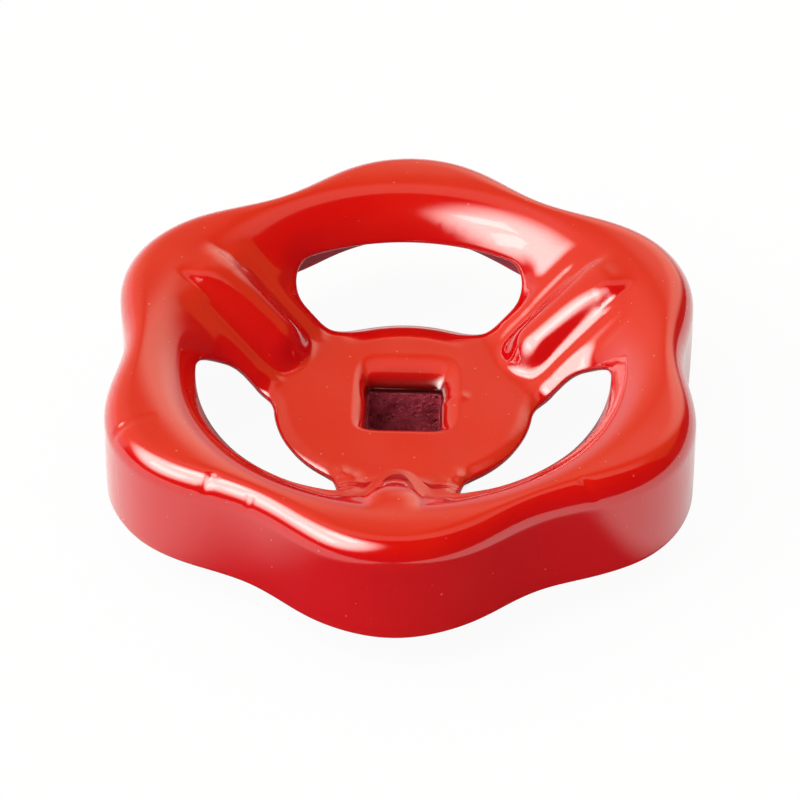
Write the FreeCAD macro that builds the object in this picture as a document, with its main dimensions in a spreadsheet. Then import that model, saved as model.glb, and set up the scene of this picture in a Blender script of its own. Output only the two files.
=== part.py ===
import FreeCAD, Part

import math
import os

import Sketcher

# A small handwheel for a valve stem, in millimetres. It is a dished steel pressing with six lobes,
# three spokes and three windows, and a square-bored bush fixed under the middle of it. The origin is
# on the stem's axis at the lower end of the bush, and +Z is up, away from the valve.

DIMENSIONS = (
    ("lobe_diameter", 70.0, "over two opposite lobes of the rim"),
    ("lobe_arc", 16.0, "radius of each lobe in plan"),
    ("hollow_arc", 18.0, "radius of each hollow between two lobes, in plan"),
    ("sheet", 1.2, "thickness of the pressed sheet"),
    ("rim_height", 12.6, "lower edge of the skirt to the top of the crown"),
    ("rim_bend", 3.6, "outer bend between crown and skirt, outside radius"),
    ("crown_arc", 5.1, "inner side of the crown in section, radius"),
    ("crown_lift", 0.05, "how far that arc's top would stand over the crown's flat"),
    ("slope_angle", 39.0, "fall of the dish, degrees from level"),
    ("hub_level", 3.3, "top of the hub plate above the lower edge of the skirt"),
    ("hub_flat_radius", 15.7, "where the hub plate's flat would meet the slope"),
    ("hub_bend", 3.0, "bend from the hub plate into the slope, top side"),
    ("hub_disc_radius", 14.6, "edge of the hub plate in the windows"),
    ("window_radius", 22.7, "outer edge of the windows"),
    ("spoke_width", 13.6, "across each spoke"),
    ("window_corner", 3.3, "outer corners of the windows"),
    ("spoke_root", 4.6, "corners where a spoke meets the hub plate"),
    ("bead_radius", 3.3, "section of the bead along each spoke, outside"),
    ("bead_rise", 1.7, "height of the bead over the slope"),
    ("bead_start", 16.2, "centre of the bead's inner end, from the axis"),
    ("bead_end", 22.6, "centre of the bead's outer end, from the axis"),
    ("socket_square", 8.0, "across the flats of the square bore"),
    ("mouth_clearance", 0.2, "the pressing's square stands this far outside the bore, each side"),
    ("mouth_corner", 1.0, "corners of the pressing's square"),
    ("mouth_roll", 2.1, "radius of the roll from the hub plate down into the mouth"),
    ("collar_drop", 2.2, "length of the collar, from the top of the hub plate"),
    ("bush_diameter", 19.0, "outside of the bush"),
    ("bush_length", 7.0, "lower end of the bush to its seat under the hub plate"),
    ("bush_nose", 9.2, "diameter of the bush at its lower end"),
    ("nose_angle", 45.0, "slope of the bush's cone, degrees"),
    ("recess_clearance", 0.25, "gap round the collar in the bush's recess"),
)

LOBES = 6
SPOKES = 3
SQUARE_SIDES = 4
FULL_TURN = 360.0
CUT_MARGIN = 3.0
SLACK = 0.01
FILLET_SHARE = 0.9


def make_sheet(doc):
    """The spreadsheet that drives the model, and the same numbers for placing first geometry."""
    sheet = doc.addObject("Spreadsheet::Sheet", "sizes")
    values = {}
    for row, (alias, value, meaning) in enumerate(DIMENSIONS, start=1):
        sheet.set("A%d" % row, str(value))
        sheet.setAlias("A%d" % row, alias)
        sheet.set("B%d" % row, meaning)
        values[alias] = value
    doc.recompute()
    return values


def vector(x, y):
    return FreeCAD.Vector(x, y, 0)


def polar(radius, degrees):
    angle = math.radians(degrees)
    return vector(radius * math.cos(angle), radius * math.sin(angle))


def sketch_on(body, role, name):
    """A sketch on one of the body's own origin planes."""
    sketch = body.newObject("Sketcher::SketchObject", name)
    plane = [item for item in body.Origin.OriginFeatures if item.Role == role][0]
    sketch.AttachmentSupport = [(plane, "")]
    sketch.MapMode = "FlatFace"
    return sketch


def drive(sketch, constraint, formula):
    """Add one dimension to a sketch and bind it to the sheet."""
    index = sketch.addConstraint(constraint)
    sketch.setExpression("Constraints[%d]" % index, formula)
    return index


def arc_between(centre, radius, start, end):
    """An arc drawn anticlockwise from one point to the other."""
    first = math.atan2(start.y - centre.y, start.x - centre.x)
    last = math.atan2(end.y - centre.y, end.x - centre.x)
    if last < first:
        last += 2 * math.pi
    circle = Part.Circle(centre, FreeCAD.Vector(0, 0, 1), radius)
    return Part.ArcOfCircle(circle, first, last)


# Levels and places that follow from the driving sizes, as formulas for the sheet's aliases.
PLATE_TOP = "(sizes.bush_length + sizes.sheet)"
SKIRT_EDGE = "(sizes.bush_length + sizes.sheet - sizes.hub_level)"
CROWN_TOP = "(sizes.bush_length + sizes.sheet - sizes.hub_level + sizes.rim_height)"
HUB_BEND_X = "(sizes.hub_flat_radius - sizes.hub_bend * tan(sizes.slope_angle * 1 deg / 2))"
MOUTH_HALF = "(sizes.socket_square / 2 + sizes.mouth_clearance)"
# The largest corner that leaves a straight side between it and the window's outer corner.
ROOT_ROOM = ("((sizes.window_radius - sizes.window_corner) ^ 2 + (sizes.spoke_width / 2) ^ 2"
             " - (sizes.spoke_width / 2 + sizes.window_corner) ^ 2 - sizes.hub_disc_radius ^ 2)"
             " / (2 * sizes.hub_disc_radius - sizes.spoke_width)")
ROOT_RADIUS = "min(sizes.spoke_root; %g * %s)" % (FILLET_SHARE, ROOT_ROOM)


def dish_sketch(body, values):
    """Half section of all that lies over the dish: hub plate, bend, slope and inside of the crown."""
    slope = math.radians(values["slope_angle"])
    plate_top = values["bush_length"] + values["sheet"]
    crown_top = plate_top - values["hub_level"] + values["rim_height"]
    bend = values["hub_bend"]
    crown = values["crown_arc"]
    bend_x = values["hub_flat_radius"] - bend * math.tan(slope / 2)
    bend_centre = vector(bend_x, plate_top + bend)
    bend_end = bend_centre + vector(bend * math.sin(slope), -bend * math.cos(slope))
    crown_z = crown_top + values["crown_lift"] - crown
    rise = crown_z + crown * math.cos(slope) - bend_end.y
    crown_centre = vector(bend_end.x + rise / math.tan(slope) + crown * math.sin(slope), crown_z)
    crown_start = crown_centre + vector(-crown * math.sin(slope), crown * math.cos(slope))
    crown_end = crown_centre + vector(0, crown)
    lid_z = crown_top + CUT_MARGIN

    sketch = sketch_on(body, "XZ_Plane", "dish_section")
    axis_foot = vector(0, plate_top)
    plate_end = vector(bend_x, plate_top)
    lid_end = vector(crown_centre.x, lid_z)
    axis_line = sketch.addGeometry(Part.LineSegment(vector(0, lid_z), axis_foot))
    plate = sketch.addGeometry(Part.LineSegment(axis_foot, plate_end))
    bend_arc = sketch.addGeometry(arc_between(bend_centre, bend, plate_end, bend_end))
    ramp = sketch.addGeometry(Part.LineSegment(bend_end, crown_start))
    crown_arc = sketch.addGeometry(arc_between(crown_centre, crown, crown_end, crown_start))
    outside = sketch.addGeometry(Part.LineSegment(crown_end, lid_end))
    lid = sketch.addGeometry(Part.LineSegment(lid_end, vector(0, lid_z)))
    join = Sketcher.Constraint
    sketch.addConstraint([
        join("Coincident", axis_line, 2, plate, 1),
        join("Tangent", plate, 2, bend_arc, 1),
        join("Tangent", bend_arc, 2, ramp, 1),
        join("Tangent", ramp, 2, crown_arc, 2),
        join("Coincident", crown_arc, 1, outside, 1),
        join("Coincident", outside, 2, lid, 1),
        join("Coincident", lid, 2, axis_line, 1),
        join("PointOnObject", axis_line, 1, -2),
        join("Vertical", axis_line),
        join("Horizontal", plate),
        join("Vertical", outside),
        join("Horizontal", lid),
        join("Vertical", crown_arc, 3, crown_arc, 1),
    ])
    drive(sketch, join("DistanceY", -1, 1, axis_line, 1, lid_z), "%s + %g" % (CROWN_TOP, CUT_MARGIN))
    drive(sketch, join("DistanceY", -1, 1, plate, 1, plate_top), PLATE_TOP)
    drive(sketch, join("DistanceX", -1, 1, bend_arc, 3, bend_x), HUB_BEND_X)
    drive(sketch, join("Radius", bend_arc, bend), "sizes.hub_bend")
    drive(sketch, join("Angle", ramp, slope), "sizes.slope_angle * 1 deg")
    drive(sketch, join("Radius", crown_arc, crown), "sizes.crown_arc")
    drive(sketch, join("DistanceY", -1, 1, crown_arc, 3, crown_z),
          "%s + sizes.crown_lift - sizes.crown_arc" % CROWN_TOP)
    return sketch


def hollow_dish_sketch(body, values):
    """The same half section one sheet lower, for the underside, with straight corners."""
    slope = math.radians(values["slope_angle"])
    sheet = values["sheet"]
    level = values["bush_length"]
    crown_top = level + sheet - values["hub_level"] + values["rim_height"]
    corner_x = values["hub_flat_radius"] + sheet * math.tan(slope / 2)
    lid_z = crown_top + CUT_MARGIN
    edge_x = corner_x + (lid_z - level) / math.tan(slope)
    points = (vector(0, lid_z), vector(0, level), vector(corner_x, level), vector(edge_x, lid_z))
    sketch = sketch_on(body, "XZ_Plane", "dish_section")
    lines = []
    for k, point in enumerate(points):
        following = points[(k + 1) % len(points)]
        lines.append(sketch.addGeometry(Part.LineSegment(point, following)))
    join = Sketcher.Constraint
    for k, line in enumerate(lines):
        sketch.addConstraint(join("Coincident", line, 2, lines[(k + 1) % len(lines)], 1))
    axis_line, plate, ramp, lid = lines
    sketch.addConstraint([
        join("PointOnObject", axis_line, 1, -2),
        join("Vertical", axis_line),
        join("Horizontal", plate),
        join("Horizontal", lid),
    ])
    drive(sketch, join("DistanceY", -1, 1, axis_line, 1, lid_z), "%s + %g" % (CROWN_TOP, CUT_MARGIN))
    drive(sketch, join("DistanceY", -1, 1, plate, 1, level), "sizes.bush_length")
    drive(sketch, join("DistanceX", -1, 1, plate, 2, corner_x),
          "sizes.hub_flat_radius + sizes.sheet * tan(sizes.slope_angle * 1 deg / 2)")
    drive(sketch, join("Angle", ramp, slope), "sizes.slope_angle * 1 deg")
    return sketch


def lobed_sketch(body, values, inset, inset_formula, level_formula):
    """The rim's outline: six lobes and the hollows between them, all tangent arcs."""
    lobe = values["lobe_arc"] - inset
    hollow = values["hollow_arc"] + inset
    lobe_out = values["lobe_diameter"] / 2 - values["lobe_arc"]
    step = FULL_TURN / LOBES
    between = polar(lobe_out, step / 2)
    hollow_out = between.x + math.sqrt((lobe + hollow) ** 2 - between.y ** 2)
    share = lobe / (lobe + hollow)
    sketch = sketch_on(body, "XY_Plane", "rim_outline")
    sketch.setExpression("AttachmentOffset.Base.z", level_formula)
    join = Sketcher.Constraint
    lobes = []
    hollows = []
    for k in range(LOBES):
        centre = polar(lobe_out, (k + 0.5) * step)
        before = polar(hollow_out, k * step)
        after = polar(hollow_out, (k + 1) * step)
        start = centre + (before - centre) * share
        end = centre + (after - centre) * share
        lobes.append(sketch.addGeometry(arc_between(centre, lobe, start, end)))
        last = polar(lobe_out, (k - 0.5) * step)
        touch = last + (before - last) * share
        hollows.append(sketch.addGeometry(arc_between(before, hollow, start, touch)))
    for k in range(LOBES):
        following = (k + 1) % LOBES
        sketch.addConstraint(join("Tangent", lobes[k], 1, hollows[k], 1))
        sketch.addConstraint(join("Tangent", lobes[k], 2, hollows[following], 2))
        if k:
            sketch.addConstraint(join("Equal", lobes[0], lobes[k]))
            sketch.addConstraint(join("Equal", hollows[0], hollows[k]))
    reach = "(sizes.lobe_diameter / 2 - sizes.lobe_arc)"
    for k in range(LOBES):
        turn = (k + 0.5) * step
        centre = polar(lobe_out, turn)
        drive(sketch, join("DistanceX", -1, 1, lobes[k], 3, centre.x), "%s * cos(%g deg)" % (reach, turn))
        drive(sketch, join("DistanceY", -1, 1, lobes[k], 3, centre.y), "%s * sin(%g deg)" % (reach, turn))
    drive(sketch, join("Radius", lobes[0], lobe), "sizes.lobe_arc - %s" % inset_formula)
    drive(sketch, join("Radius", hollows[0], hollow), "sizes.hollow_arc + %s" % inset_formula)
    return sketch


def bead_sketch(body, values, inset, inset_formula):
    """Half outline of the bead on the spoke that points to -Y, with its axis along the slope."""
    slope = math.radians(values["slope_angle"])
    radius = values["bead_radius"] - inset
    sunk = (values["bead_radius"] - values["bead_rise"]) / math.cos(slope)
    plate_top = values["bush_length"] + values["sheet"]

    def on_axis(out):
        return vector(-out, plate_top + (out - values["hub_flat_radius"]) * math.tan(slope) - sunk)

    near = on_axis(values["bead_start"])
    far = on_axis(values["bead_end"])
    along = vector(-math.cos(slope), math.sin(slope)) * radius
    away = vector(math.sin(slope), math.cos(slope)) * radius
    sketch = sketch_on(body, "YZ_Plane", "bead_section")
    join = Sketcher.Constraint
    inner_end = sketch.addGeometry(arc_between(near, radius, near - along, near + away))
    crest = sketch.addGeometry(Part.LineSegment(near + away, far + away))
    outer_end = sketch.addGeometry(arc_between(far, radius, far + away, far + along))
    middle = sketch.addGeometry(Part.LineSegment(far + along, near - along))
    sketch.addConstraint([
        join("Tangent", inner_end, 2, crest, 1),
        join("Tangent", crest, 2, outer_end, 1),
        join("Coincident", outer_end, 2, middle, 1),
        join("Coincident", middle, 2, inner_end, 1),
        join("Equal", inner_end, outer_end),
        join("PointOnObject", inner_end, 3, middle),
        join("PointOnObject", outer_end, 3, middle),
    ])
    drive(sketch, join("Radius", inner_end, radius), "sizes.bead_radius - %s" % inset_formula)
    ramp = "tan(sizes.slope_angle * 1 deg)"
    depth = "(sizes.bead_radius - sizes.bead_rise) / cos(sizes.slope_angle * 1 deg)"
    for arc, place, alias in ((inner_end, near, "bead_start"), (outer_end, far, "bead_end")):
        height = "%s + (sizes.%s - sizes.hub_flat_radius) * %s - %s" % (PLATE_TOP, alias, ramp, depth)
        drive(sketch, join("DistanceX", -1, 1, arc, 3, place.x), "-sizes.%s" % alias)
        drive(sketch, join("DistanceY", -1, 1, arc, 3, place.y), height)
    axis = sketch.addGeometry(Part.LineSegment(far + along, near - along), True)
    sketch.addConstraint(join("Coincident", axis, 1, middle, 1))
    sketch.addConstraint(join("Coincident", axis, 2, middle, 2))
    return sketch


def turned(body, name, sketch, axis_name, kind="PartDesign::Revolution"):
    """A full turn of a sketch about one of its axes, added or, as a Groove, cut away."""
    feature = body.newObject(kind, name)
    feature.Profile = sketch
    feature.ReferenceAxis = (sketch, [axis_name])
    feature.Angle = FULL_TURN
    sketch.Visibility = False
    return feature


def repeated(body, name, original, count):
    """The same feature again, evenly round the wheel's axis."""
    pattern = body.newObject("PartDesign::PolarPattern", name)
    pattern.Originals = [original]
    axis = [item for item in body.Origin.OriginFeatures if item.Role == "Z_Axis"][0]
    pattern.Axis = (axis, [""])
    pattern.Angle = FULL_TURN
    pattern.Occurrences = count
    body.Tip = pattern
    return pattern


def dressed(body, kind, name, base, edges, size_name, size_formula):
    """A fillet or a chamfer on named edges of the last feature."""
    feature = body.newObject(kind, name)
    feature.Base = (base, edges)
    feature.setExpression(size_name, size_formula)
    body.Tip = feature
    return feature


def edges_where(shape, wanted):
    """Names of the edges that pass a test."""
    return ["Edge%d" % (i + 1) for i, edge in enumerate(shape.Edges) if wanted(edge)]


def at_level(edge, height):
    """An edge that lies flat at one height."""
    box = edge.BoundBox
    return abs(box.ZMin - height) < SLACK and abs(box.ZMax - height) < SLACK


def lobed_blank(body, values, inset, inset_formula, drop):
    """An upright block with the rim's outline, one inset smaller than the wheel all round."""
    blank = body.newObject("PartDesign::Pad", "lobed_blank")
    blank.Profile = lobed_sketch(body, values, inset, inset_formula, "%s - %g" % (SKIRT_EDGE, drop))
    blank.setExpression("Length", "sizes.rim_height + %g - %s" % (drop, inset_formula))
    blank.Document.recompute()
    top = values["bush_length"] + values["sheet"] - values["hub_level"] + values["rim_height"] - inset
    return blank, edges_where(blank.Shape, lambda edge: at_level(edge, top))


def add_beads(body, values, inset, inset_formula):
    """A bead along each spoke."""
    bead = turned(body, "bead", bead_sketch(body, values, inset, inset_formula), "Axis0")
    body.Document.recompute()
    repeated(body, "beads", bead, SPOKES)
    body.Document.recompute()


def outer_form(doc, values, name):
    """The whole wheel as a solid block: rim bend, dish and beads."""
    body = doc.addObject("PartDesign::Body", name)
    blank, top_edges = lobed_blank(body, values, 0, "0", 0)
    dressed(body, "PartDesign::Fillet", "rim_bend", blank, top_edges, "Radius", "sizes.rim_bend")
    doc.recompute()
    turned(body, "dish", dish_sketch(body, values), "V_Axis", "PartDesign::Groove")
    doc.recompute()
    add_beads(body, values, 0, "0")
    return body


def hollow_form(doc, values):
    """The space under the sheet, one sheet inside the outer form. Its rim corner is bevelled."""
    body = doc.addObject("PartDesign::Body", "hollow_form")
    sheet = values["sheet"]
    blank, top_edges = lobed_blank(body, values, sheet, "sizes.sheet", CUT_MARGIN)
    bevel = "(sizes.rim_bend - sizes.sheet) * (2 - sqrt(2))"
    dressed(body, "PartDesign::Chamfer", "rim_bevel", blank, top_edges, "Size", bevel)
    doc.recompute()
    turned(body, "hollow_dish", hollow_dish_sketch(body, values), "V_Axis", "PartDesign::Groove")
    doc.recompute()
    add_beads(body, values, sheet, "sizes.sheet")
    return body


def window_sketch(body, values):
    """One window: an arc under the rim, two sides along the spokes and an arc round the hub plate."""
    rim = values["window_radius"]
    hub = values["hub_disc_radius"]
    side = values["spoke_width"] / 2
    corner = values["window_corner"]
    room = (rim - corner) ** 2 - (side + corner) ** 2 - hub ** 2 + side ** 2
    root = min(values["spoke_root"], FILLET_SHARE * room / (2 * (hub - side)))
    spoke_turn = FULL_TURN / SPOKES / 2 - FULL_TURN / LOBES / 2
    corner_out = math.sqrt((rim - corner) ** 2 - (side + corner) ** 2)
    root_out = math.sqrt((hub + root) ** 2 - (side + root) ** 2)

    def beside_spoke(out, across):
        """A point given along and across the spoke to the right of the window."""
        turn = math.radians(spoke_turn)
        return vector(out * math.cos(turn) - across * math.sin(turn),
                      out * math.sin(turn) + across * math.cos(turn))

    def mirrored(point):
        return vector(-point.x, point.y)

    centre = vector(0, 0)
    corner_centre = beside_spoke(corner_out, side + corner)
    root_centre = beside_spoke(root_out, side + root)
    rim_touch = corner_centre * (rim / (rim - corner))
    hub_touch = root_centre * (hub / (hub + root))
    side_far = beside_spoke(corner_out, side)
    side_near = beside_spoke(root_out, side)
    sketch = sketch_on(body, "XY_Plane", "window_outline")
    join = Sketcher.Constraint
    add = sketch.addGeometry
    rim_arc = add(arc_between(centre, rim, rim_touch, mirrored(rim_touch)))
    hub_arc = add(arc_between(centre, hub, hub_touch, mirrored(hub_touch)))
    right = add(Part.LineSegment(side_near, side_far))
    left = add(Part.LineSegment(mirrored(side_near), mirrored(side_far)))
    right_corner = add(arc_between(corner_centre, corner, side_far, rim_touch))
    left_corner = add(arc_between(mirrored(corner_centre), corner, mirrored(rim_touch), mirrored(side_far)))
    right_root = add(arc_between(root_centre, root, hub_touch, side_near))
    left_root = add(arc_between(mirrored(root_centre), root, mirrored(side_near), mirrored(hub_touch)))
    sketch.addConstraint([
        join("Tangent", rim_arc, 1, right_corner, 2),
        join("Tangent", rim_arc, 2, left_corner, 1),
        join("Tangent", right_corner, 1, right, 2),
        join("Tangent", left_corner, 2, left, 2),
        join("Tangent", right, 1, right_root, 2),
        join("Tangent", left, 1, left_root, 1),
        join("Tangent", right_root, 1, hub_arc, 1),
        join("Tangent", left_root, 2, hub_arc, 2),
        join("Coincident", rim_arc, 3, -1, 1),
        join("Coincident", hub_arc, 3, -1, 1),
        join("Equal", right_corner, left_corner),
        join("Equal", right_root, left_root),
    ])
    drive(sketch, join("Radius", rim_arc, rim), "sizes.window_radius")
    drive(sketch, join("Radius", hub_arc, hub), "sizes.hub_disc_radius")
    drive(sketch, join("Radius", right_corner, corner), "sizes.window_corner")
    drive(sketch, join("Radius", right_root, root), ROOT_RADIUS)
    for line, turn in ((right, spoke_turn), (left, FULL_TURN / 2 - spoke_turn)):
        drive(sketch, join("Angle", line, math.radians(turn)), "%g deg" % turn)
        drive(sketch, join("Distance", -1, 1, line, side), "sizes.spoke_width / 2")
    return sketch


def square_sketch(body, name, level_formula, half, half_formula, corner, corner_formula):
    """A square with round corners, centred on the stem's axis at a given level."""
    sketch = sketch_on(body, "XY_Plane", name)
    sketch.setExpression("AttachmentOffset.Base.z", level_formula)
    join = Sketcher.Constraint
    flat = half - corner
    sides = []
    corners = []
    for k in range(SQUARE_SIDES):
        turn = FreeCAD.Rotation(FreeCAD.Vector(0, 0, 1), k * FULL_TURN / SQUARE_SIDES)
        start = turn.multVec(vector(half, -flat))
        end = turn.multVec(vector(half, flat))
        sides.append(sketch.addGeometry(Part.LineSegment(start, end)))
        centre = turn.multVec(vector(flat, flat))
        corner_arc = arc_between(centre, corner, end, turn.multVec(vector(flat, half)))
        corners.append(sketch.addGeometry(corner_arc))
    for k in range(SQUARE_SIDES):
        sketch.addConstraint(join("Tangent", sides[k], 2, corners[k], 1))
        sketch.addConstraint(join("Tangent", corners[k], 2, sides[(k + 1) % SQUARE_SIDES], 1))
        sketch.addConstraint(join("Horizontal" if k % 2 else "Vertical", sides[k]))
        if k:
            sketch.addConstraint(join("Equal", corners[0], corners[k]))
    drive(sketch, join("Radius", corners[0], corner), corner_formula)
    for side, kind in ((sides[0], "DistanceX"), (sides[1], "DistanceY")):
        drive(sketch, join(kind, -1, 1, side, 1, half), half_formula)
    for side, kind in ((sides[2], "DistanceX"), (sides[3], "DistanceY")):
        drive(sketch, join(kind, side, 1, -1, 1, half), half_formula)
    return sketch


def make_pressing(doc, values):
    """The wheel: one pressing of even thickness, with windows, beads and a square collar."""
    hollow = hollow_form(doc, values)
    body = outer_form(doc, values, "wheel_pressing")
    shell = body.newObject("PartDesign::Boolean", "shell")
    shell.Type = "Cut"
    shell.setObjects([hollow])
    body.Tip = shell
    doc.recompute()

    window = body.newObject("PartDesign::Pocket", "window")
    window.Profile = window_sketch(body, values)
    window.Type = "ThroughAll"
    window.Reversed = True
    doc.recompute()
    repeated(body, "windows", window, SPOKES)
    doc.recompute()

    level = "%s - sizes.collar_drop" % PLATE_TOP
    inside = values["socket_square"] / 2 + values["mouth_clearance"]
    outside = inside + values["sheet"]
    plate_top = values["bush_length"] + values["sheet"]

    def square_edge(edge, height, half):
        """One of the square's edges at a given height, no further out than half its width."""
        box = edge.BoundBox
        reach = max(abs(box.XMin), abs(box.XMax), abs(box.YMin), abs(box.YMax))
        return at_level(edge, height) and reach < half + SLACK

    collar = body.newObject("PartDesign::Pad", "collar")
    collar.Profile = square_sketch(
        body, "collar_outline", level, outside, MOUTH_HALF + " + sizes.sheet",
        values["mouth_corner"] + values["sheet"], "sizes.mouth_corner + sizes.sheet")
    collar.setExpression("Length", "sizes.collar_drop")
    body.Tip = collar
    doc.recompute()

    mouth = body.newObject("PartDesign::Pocket", "mouth")
    mouth.Profile = square_sketch(
        body, "mouth_outline", level, inside, MOUTH_HALF,
        values["mouth_corner"], "sizes.mouth_corner")
    mouth.setExpression("Length", "sizes.collar_drop + %g" % CUT_MARGIN)
    mouth.Reversed = True
    body.Tip = mouth
    doc.recompute()
    lip = edges_where(mouth.Shape, lambda edge: square_edge(edge, plate_top, inside))
    dressed(body, "PartDesign::Fillet", "mouth_lip", mouth, lip, "Radius", "sizes.mouth_roll")
    doc.recompute()
    return body


def make_bush(doc, values):
    """The turned bush: seat under the hub plate, recess for the collar, cone below, square bore."""
    body = doc.addObject("PartDesign::Body", "square_hub_bush")
    length = values["bush_length"]
    radius = values["bush_diameter"] / 2
    nose = values["bush_nose"] / 2
    cone_top = (radius - nose) * math.tan(math.radians(values["nose_angle"]))
    floor = length - (values["collar_drop"] - values["sheet"])
    flat = values["socket_square"] / 2 + values["mouth_clearance"] - values["mouth_corner"]
    collar_corner = values["mouth_corner"] + values["sheet"]
    recess = flat * math.sqrt(2) + collar_corner + values["recess_clearance"]
    outline = (vector(0, 0), vector(nose, 0), vector(radius, cone_top), vector(radius, length),
               vector(recess, length), vector(recess, floor), vector(0, floor))
    sketch = sketch_on(body, "XZ_Plane", "bush_section")
    join = Sketcher.Constraint
    lines = []
    for k, point in enumerate(outline):
        following = outline[(k + 1) % len(outline)]
        lines.append(sketch.addGeometry(Part.LineSegment(point, following)))
    for k, line in enumerate(lines):
        sketch.addConstraint(join("Coincident", line, 2, lines[(k + 1) % len(lines)], 1))
    foot, cone, flank, seat, recess_wall, recess_floor, axis_line = lines
    for line in (foot, seat, recess_floor):
        sketch.addConstraint(join("Horizontal", line))
    for line in (flank, recess_wall):
        sketch.addConstraint(join("Vertical", line))
    sketch.addConstraint(join("Coincident", foot, 1, -1, 1))
    sketch.addConstraint(join("PointOnObject", axis_line, 1, -2))
    drive(sketch, join("DistanceX", -1, 1, cone, 1, nose), "sizes.bush_nose / 2")
    drive(sketch, join("DistanceX", -1, 1, flank, 1, radius), "sizes.bush_diameter / 2")
    drive(sketch, join("Angle", cone, math.radians(values["nose_angle"])), "sizes.nose_angle * 1 deg")
    drive(sketch, join("DistanceY", -1, 1, seat, 1, length), "sizes.bush_length")
    drive(sketch, join("DistanceY", -1, 1, recess_floor, 1, floor),
          "sizes.bush_length + sizes.sheet - sizes.collar_drop")
    drive(sketch, join("DistanceX", -1, 1, recess_wall, 1, recess),
          "(%s - sizes.mouth_corner) * sqrt(2) + sizes.mouth_corner + sizes.sheet"
          " + sizes.recess_clearance" % MOUTH_HALF)
    turned(body, "bush_blank", sketch, "V_Axis")
    doc.recompute()

    bore_sketch = sketch_on(body, "XY_Plane", "bore_outline")
    half = values["socket_square"] / 2
    corners = [vector(x * half, y * half) for x, y in ((1, -1), (1, 1), (-1, 1), (-1, -1))]
    sides = []
    for k, point in enumerate(corners):
        following = corners[(k + 1) % SQUARE_SIDES]
        sides.append(bore_sketch.addGeometry(Part.LineSegment(point, following)))
    for k, side in enumerate(sides):
        bore_sketch.addConstraint(join("Coincident", side, 2, sides[(k + 1) % SQUARE_SIDES], 1))
        bore_sketch.addConstraint(join("Horizontal" if k % 2 else "Vertical", side))
    for side, kind in ((0, "DistanceX"), (1, "DistanceY")):
        drive(bore_sketch, join(kind, -1, 1, sides[side], 1, half), "sizes.socket_square / 2")
    for side, kind in ((2, "DistanceX"), (3, "DistanceY")):
        drive(bore_sketch, join(kind, sides[side], 1, -1, 1, half), "sizes.socket_square / 2")
    bore = body.newObject("PartDesign::Pocket", "square_bore")
    bore.Profile = bore_sketch
    bore.Type = "ThroughAll"
    bore.Reversed = True
    body.Tip = bore
    doc.recompute()
    return body


def check(doc, nodes):
    """Stop before anything is written if a feature failed or a piece isn't one sound solid."""
    for item in doc.Objects:
        if "Invalid" in item.State or "Error" in item.State:
            raise RuntimeError("%s did not rebuild: %s" % (item.Name, item.State))
    for node in nodes:
        shape = node.Shape
        if shape.isNull() or not shape.isValid() or len(shape.Solids) != 1:
            raise RuntimeError("%s is not one valid solid" % node.Label)
        print("%-18s %8.1f mm3  %s" % (node.Label, shape.Volume, shape.optimalBoundingBox(True, False)))


def main():
    doc = FreeCAD.newDocument("valve_handwheel")
    values = make_sheet(doc)
    nodes = (make_pressing(doc, values), make_bush(doc, values))
    check(doc, nodes)
    os.makedirs("parts", exist_ok=True)
    for node in nodes:
        node.Shape.exportStep("parts/%s.step" % node.Label)


main()
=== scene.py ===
# %% [markdown]
# # A pressed valve handwheel
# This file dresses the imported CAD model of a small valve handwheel. The real wheel is one sheet of
# steel, cut flat, pressed to shape and dipped in red enamel, with a bare steel bush under its hub.
# Every length is in metres, and the axis of the valve stem is the Z axis, as in the CAD model.

# %% Load the frame
import math
from functools import partial

import bpy
import numpy as np
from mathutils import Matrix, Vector, geometry
from mathutils import noise as solid_noise


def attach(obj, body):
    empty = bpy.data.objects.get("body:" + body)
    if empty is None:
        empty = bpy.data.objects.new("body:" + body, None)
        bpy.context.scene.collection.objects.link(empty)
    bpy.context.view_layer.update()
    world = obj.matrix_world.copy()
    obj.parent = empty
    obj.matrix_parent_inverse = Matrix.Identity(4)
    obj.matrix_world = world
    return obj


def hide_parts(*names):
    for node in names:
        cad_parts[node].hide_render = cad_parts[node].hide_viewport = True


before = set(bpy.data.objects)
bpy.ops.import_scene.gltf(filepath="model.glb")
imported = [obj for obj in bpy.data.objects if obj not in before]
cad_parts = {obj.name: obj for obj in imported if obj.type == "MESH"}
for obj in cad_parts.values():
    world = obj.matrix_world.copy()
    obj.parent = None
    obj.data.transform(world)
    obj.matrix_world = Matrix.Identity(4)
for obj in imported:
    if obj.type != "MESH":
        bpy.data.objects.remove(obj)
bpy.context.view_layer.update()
print("CAD nodes:", sorted(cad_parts))
mm = 0.001

# %% [markdown]
# ## The camera
# The photograph was taken from about 40 degrees above, with a long lens almost half a metre away.
# The shift moves the picture a little, because the wheel isn't quite in the middle of the frame.

# %% Place the camera
skirt_edge = 4.9 * mm
view_distance = 454 * mm
view_elevation = math.radians(40.41)
view_turn = math.radians(2.19)
lens_length, sensor_width = 182.5, 36
picture_shift = (-0.0041, 0.0303)


def place_camera():
    """Looks at the wheel's centre, at the level of the skirt's lower edge."""
    level = view_distance * math.cos(view_elevation)
    target = Vector((0, 0, skirt_edge))
    offset = Vector((level * math.sin(view_turn), -level * math.cos(view_turn),
                     view_distance * math.sin(view_elevation)))
    data = bpy.data.cameras.new("camera")
    data.lens, data.sensor_width = lens_length, sensor_width
    data.shift_x, data.shift_y = picture_shift
    data.clip_start = 10 * mm
    camera = bpy.data.objects.new("camera", data)
    camera.location = target + offset
    camera.rotation_euler = (-offset).to_track_quat("-Z", "Y").to_euler()
    bpy.context.scene.collection.objects.link(camera)
    bpy.context.scene.camera = camera
    return camera


print("camera at", [round(v, 3) for v in place_camera().location])

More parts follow.
